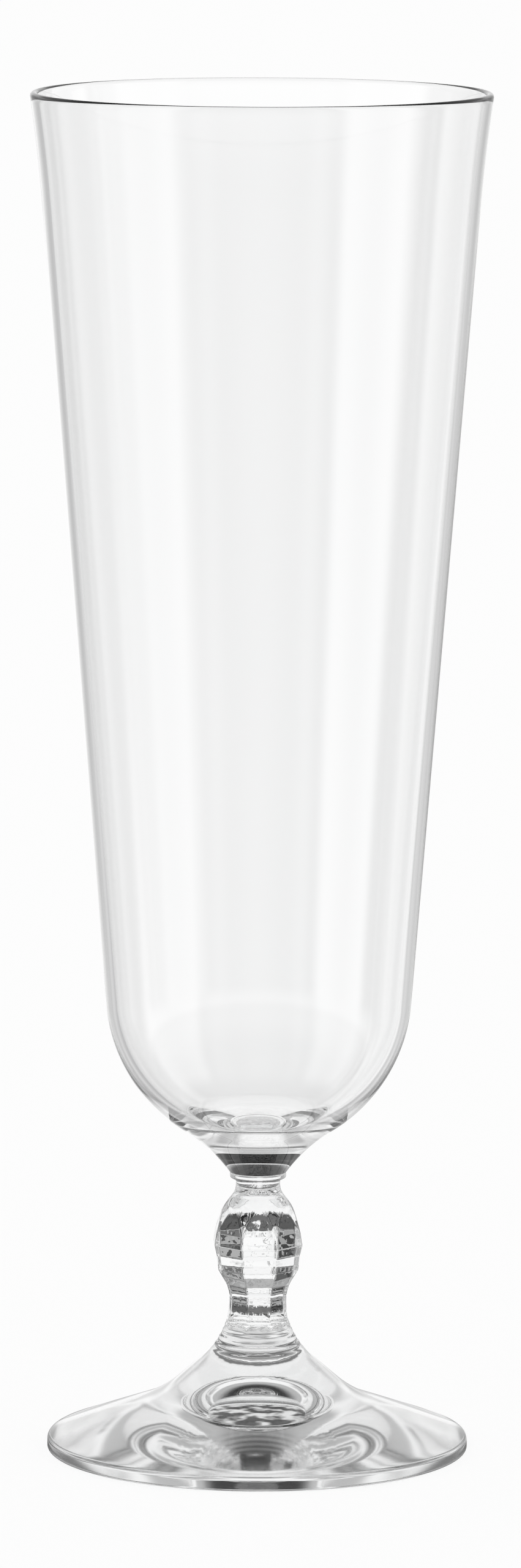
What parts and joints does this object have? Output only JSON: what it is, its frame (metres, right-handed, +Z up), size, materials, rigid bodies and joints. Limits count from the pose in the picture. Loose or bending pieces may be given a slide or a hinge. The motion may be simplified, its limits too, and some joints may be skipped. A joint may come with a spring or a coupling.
{
  "type": "pilsner glass",
  "caption": "Tall, slightly tapered clear glass bowl on a short pressed stem with a faceted knop and a low conical foot, for serving beer.",
  "frame": {"origin": "on the table plane, under the middle of the foot", "axes": "+Z up along the glass's axis of revolution, -Y towards the viewer of the picture and square to one flat of the knop, +X to that viewer's right"},
  "size_m": [0.0752, 0.0752, 0.224],
  "materials": {
    "blown_glass": "clear, fire-polished",
    "pressed_glass": "clear, pressed and fire-polished"
  },
  "bodies": {
    "root": {"bowl": "blown_glass", "collar": "pressed_glass", "stem": "pressed_glass", "foot": "pressed_glass"}
  },
  "joints": []
}
